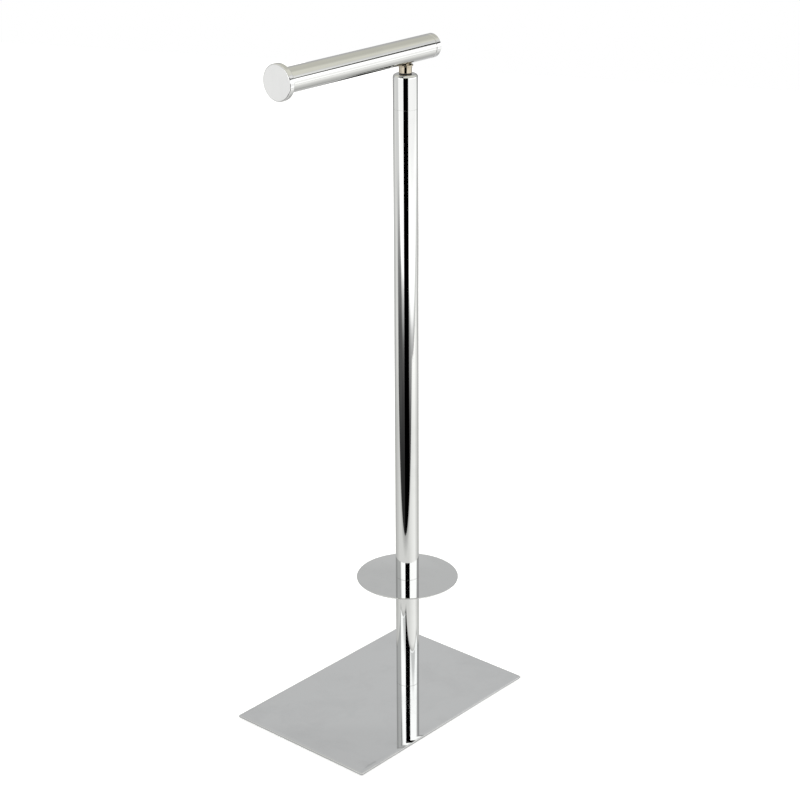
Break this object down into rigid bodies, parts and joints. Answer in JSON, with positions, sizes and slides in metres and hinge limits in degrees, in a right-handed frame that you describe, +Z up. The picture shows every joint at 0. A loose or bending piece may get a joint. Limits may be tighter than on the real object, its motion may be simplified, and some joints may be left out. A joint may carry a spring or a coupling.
{
  "type": "freestanding toilet paper holder",
  "caption": "Chromed floor stand with an off-centre round column, a disc that stores spare rolls and a swivelling bar with a round stop for the roll in use.",
  "frame": {"origin": "on the floor, under the middle of the outline seen from above", "axes": "+Z up the column; X along the bar at rest, with the roll stop at the -X end and the column on the +X side; +Y towards the rear long edge of the base plate"},
  "size_m": [0.2674, 0.177, 0.7168],
  "materials": {
    "chrome": "polished chrome plate on steel",
    "turned_nickel": "nickel plate with fine turning rings",
    "plated_steel": "turned steel, zinc plated",
    "nylon": "black nylon",
    "pad_rubber": "matt black rubber"
  },
  "bodies": {
    "stand": {"base_plate": "chrome", "pad_front_left": "pad_rubber", "pad_front_right": "pad_rubber", "pad_rear_left": "pad_rubber", "pad_rear_right": "pad_rubber", "base_screw": "plated_steel", "lower_tube": "chrome", "lower_tube_bottom_plug": "plated_steel", "lower_tube_top_plug": "plated_steel", "storage_disc": "chrome", "joint_stud": "plated_steel", "main_tube": "chrome", "main_tube_bottom_plug": "plated_steel", "main_tube_top_plug": "plated_steel", "finial": "chrome", "pivot_bush": "nylon"},
    "bar_arm": {"neck_post": "turned_nickel", "neck_collar": "turned_nickel", "spring_washer": "plated_steel", "pivot_washer": "plated_steel", "lock_nut": "plated_steel", "bar_tube": "chrome", "bar_insert": "plated_steel", "roll_stop": "chrome", "end_button": "chrome"}
  },
  "joints": [
    {"name": "bar_swivel", "type": "hinge", "parent": "stand", "child": "bar_arm", "pos_m": [0.04495, 0, 0.6788], "axis": [0, 0, 1], "continuous": true}
  ]
}
